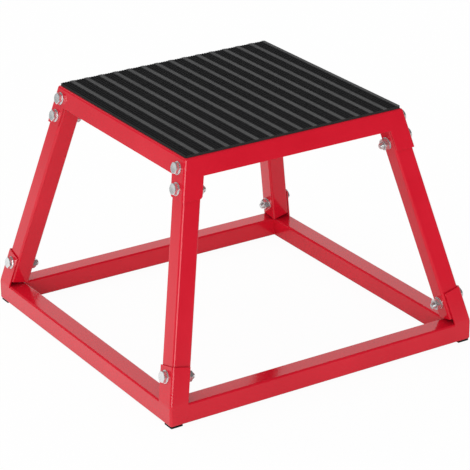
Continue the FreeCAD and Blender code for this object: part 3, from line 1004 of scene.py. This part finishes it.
def makeRowTree():
    tree, given = startTree("fastenerRow", [
        ("Shape", "NodeSocketObject"), ("Material", "NodeSocketMaterial")])
    shape = addNode(tree, "GeometryNodeObjectInfo", {"Object": given["Shape"]})
    turn = addNode(tree, "GeometryNodeInputNamedAttribute", {"Name": "seatTurn"}, data_type="FLOAT_VECTOR")
    rotation = addNode(tree, "FunctionNodeEulerToRotation", {"Euler": turn.outputs["Attribute"]})
    row = addNode(tree, "GeometryNodeInstanceOnPoints", {
        "Points": given["Geometry"], "Instance": shape.outputs["Geometry"],
        "Rotation": rotation.outputs["Rotation"]})
    endTree(tree, row.outputs[0], given["Material"])
    return tree


rowTree = makeRowTree()

# rows along the legs, measured down from the top of the tray
rowDrops = {
    "tray_upper": 0.0135,
    "tray_lower": 0.0365,
    "base": trayTop - railTop - cornerPlate["boltRise"],
}


def setRow(node, shape, drop, reach):
    seats = bpy.data.meshes.new("seats")
    places = []
    turns = []
    outwards = Matrix.Rotation(quarterTurn, 4, "Y")
    for corner in corners.values():
        seat = legFrame(corner) @ Matrix.Translation(Vector((reach, 0, -drop / upRise))) @ outwards
        places.append(seat.translation)
        turns += list(seat.to_euler())
    seats.from_pydata(places, [], [])
    seats.attributes.new("seatTurn", "FLOAT_VECTOR", "POINT").data.foreach_set("vector", turns)
    template = bpy.data.objects.new("fastenerShape", shape)
    scene.collection.objects.link(template)
    mesh = growMesh("rowGrower", seats, rowTree, {"Shape": template, "Material": zincMaterial})
    bpy.data.objects.remove(template)
    if mesh.attributes.get("seatTurn"):
        mesh.attributes.remove(mesh.attributes["seatTurn"])
    mesh.shade_smooth()
    mesh.set_sharp_from_angle(angle=math.radians(fastener["sharpAngle"]))
    addPiece(f"{node}_set", mesh, zincMaterial, node)


boltShape, nutShape, washerShape = makeBoltShape(), makeNutShape(), makeWasherShape()
underHead = insetOut + fastener["washerThick"]
underNut = -stand["legWidth"] / 2 - fastener["washerThick"]
for name, drop in rowDrops.items():
    setRow(f"{name}_bolts", boltShape, drop, underHead)
    setRow(f"{name}_head_washers", washerShape, drop, insetOut)
    setRow(f"{name}_nut_washers", washerShape, drop, underNut)
    setRow(f"{name}_nuts", nutShape, drop, underNut)
print("fasteners set")


# Helpers for the floor and the room round it
plainWhite = (1, 1, 1, 1)


def addFade(tree, source, ends, low, high):
    return mapTo(tree, source, low, high, ends, "SMOOTHSTEP")


def facing(tree, towards, direction):
    return addNode(tree, "ShaderNodeVectorMath", {0: towards, 1: direction},
                   operation="DOT_PRODUCT").outputs["Value"]


# 1 for what is seen in a shiny surface or through a clear one
def seenMirrored(tree, path):
    return mathNode(tree, "MAXIMUM", path["Is Glossy Ray"], path["Is Transmission Ray"])


# Floor: plain and pale. The eye sees it near white, under the stand's shadow. Reflections see
# its glow, painted white on the left and behind the stand, with a painted shadow under it, dimmer
# far away and painted dark in front.
floorPlane = {
    "half": 14.0,
    "colour": (0.95, 0.95, 0.95, 1),
    "whiteShare": 0.96,
    "mirrorShare": 0.75,
    "leftFade": (-0.235, -0.195),   # across the left side and the back of the base
    "backFade": (0.195, 0.30),
    "backLevel": 0.85,
    # painted shadow of the stand in the glow that reflections see under it
    "underShadowLevel": 0.46,
    "frontFade": (-1.0, -0.4),
    "frontShare": 0.16,
    "farFade": (0.7, 2.4),
    "farLevel": 0.44,
}


def makeFloor():
    material = bpy.data.materials.new("paleFloor")
    material.use_nodes = True
    tree = material.node_tree
    tree.nodes.clear()
    path = tree.nodes.new("ShaderNodeLightPath").outputs
    place = tree.nodes.new("ShaderNodeTexCoord").outputs["Object"]
    parts = addNode(tree, "ShaderNodeSeparateXYZ", {"Vector": place}).outputs
    away = addNode(tree, "ShaderNodeVectorMath", {0: place}, operation="LENGTH").outputs["Value"]
    # painted light and shade in the glow: a white pool on the left and behind the base, a painted shadow
    # under the stand, dimmer far off and painted dark in front
    under = floorPlane["underShadowLevel"]
    left = addFade(tree, parts["X"], floorPlane["leftFade"], 1.0, under)
    behind = addFade(tree, parts["Y"], floorPlane["backFade"], under, floorPlane["backLevel"])
    far = addFade(tree, away, floorPlane["farFade"], 0.0, 1.0)
    around = mixValues(tree, far, mathNode(tree, "MAXIMUM", left, behind), floorPlane["farLevel"])
    front = addFade(tree, parts["Y"], floorPlane["frontFade"], floorPlane["frontShare"], 1.0)
    level = mathNode(tree, "MULTIPLY", around, front)
    mirrorShare = mathNode(tree, "MULTIPLY", seenMirrored(tree, path),
                           mapTo(tree, far, floorPlane["mirrorShare"], 1.0))
    seenShare = mathNode(tree, "MULTIPLY", path["Is Camera Ray"], floorPlane["whiteShare"])
    share = mathNode(tree, "ADD", mirrorShare, seenShare)
    matt = addNode(tree, "ShaderNodeBsdfDiffuse", {"Color": floorPlane["colour"]})
    glow = addNode(tree, "ShaderNodeEmission", {
        "Color": plainWhite, "Strength": mathNode(tree, "MAXIMUM", level, path["Is Camera Ray"])})
    mixed = addNode(tree, "ShaderNodeMixShader", {0: share, 1: matt.outputs[0], 2: glow.outputs[0]})
    output = tree.nodes.new("ShaderNodeOutputMaterial")
    tree.links.new(mixed.outputs[0], output.inputs["Surface"])

    half = floorPlane["half"]
    bm = bmesh.new()
    bm.faces.new(addRing(bm, [(-half, -half, 0), (half, -half, 0), (half, half, 0), (-half, half, 0)]))
    mesh = bpy.data.meshes.new("studioFloor")
    bm.to_mesh(mesh)
    bm.free()
    mesh.materials.append(material)
    floor = bpy.data.objects.new("studioFloor", mesh)
    scene.collection.objects.link(floor)


# Studio: white to the eye. Reflections see a white backdrop of limited height behind the
# stand and a dim room elsewhere. As a light the room is brightest at the back on the left,
# and a broad lamp in front on the left helps it.
studio = {
    "backdropTowards": (0.53, 0.85, 0.0),
    "backdropSide": (0.45, 0.85),   # cosine of the angle to its middle at which it fades
    "backdropTop": (0.50, 0.64),    # sine of the height at which it ends
    "backdropLevel": 0.95,
    "roomLevel": 0.08,
    "lightTowards": (-0.7, 0.71, 0.0),
    "lightFade": (-0.7, 0.7),       # cosine of the angle to that
    "backLight": 0.97,
    "frontLight": 0.34,
    "skyFade": (0.0, 0.7),          # sine of the height, from the horizon's share up
    "horizonShare": 1.12,
    "topShare": 1.3,
    "boxPlace": (-2.6, -5.6, 1.4),
    "boxSize": (6.0, 2.4),
    "boxPower": 156.0,
    "boxAim": (0.0, 0.0, 0.15),
}


def makeStudio():
    world = bpy.data.worlds.new("paleRoom")
    scene.world = world
    world.use_nodes = True
    tree = world.node_tree
    tree.nodes.clear()
    path = tree.nodes.new("ShaderNodeLightPath").outputs
    towards = tree.nodes.new("ShaderNodeTexCoord").outputs["Generated"]
    height = addNode(tree, "ShaderNodeSeparateXYZ", {"Vector": towards}).outputs["Z"]
    behind = addFade(tree, facing(tree, towards, studio["backdropTowards"]), studio["backdropSide"], 0.0, 1.0)
    below = addFade(tree, height, studio["backdropTop"], 1.0, 0.0)
    backdrop = mapTo(tree, mathNode(tree, "MULTIPLY", behind, below),
                     studio["roomLevel"], studio["backdropLevel"])
    around = addFade(tree, facing(tree, towards, studio["lightTowards"]), studio["lightFade"],
                     studio["frontLight"], studio["backLight"])
    upwards = addFade(tree, height, studio["skyFade"], studio["horizonShare"], studio["topShare"])
    light = mathNode(tree, "MULTIPLY", around, upwards)
    level = mixValues(tree, seenMirrored(tree, path), light, backdrop)
    shown = mathNode(tree, "MAXIMUM", level, path["Is Camera Ray"])
    room = addNode(tree, "ShaderNodeBackground", {"Color": plainWhite, "Strength": shown})
    output = tree.nodes.new("ShaderNodeOutputWorld")
    tree.links.new(room.outputs[0], output.inputs["Surface"])

    data = bpy.data.lights.new("frontBox", "AREA")
    data.shape = "RECTANGLE"
    data.size, data.size_y = studio["boxSize"]
    data.energy = studio["boxPower"]
    lamp = bpy.data.objects.new("frontBox", data)
    lamp.location = studio["boxPlace"]
    aim = Vector(studio["boxAim"]) - Vector(studio["boxPlace"])
    lamp.rotation_euler = aim.to_track_quat("-Z", "Y").to_euler()
    scene.collection.objects.link(lamp)


makeFloor()
makeStudio()
print("floor and lights set")
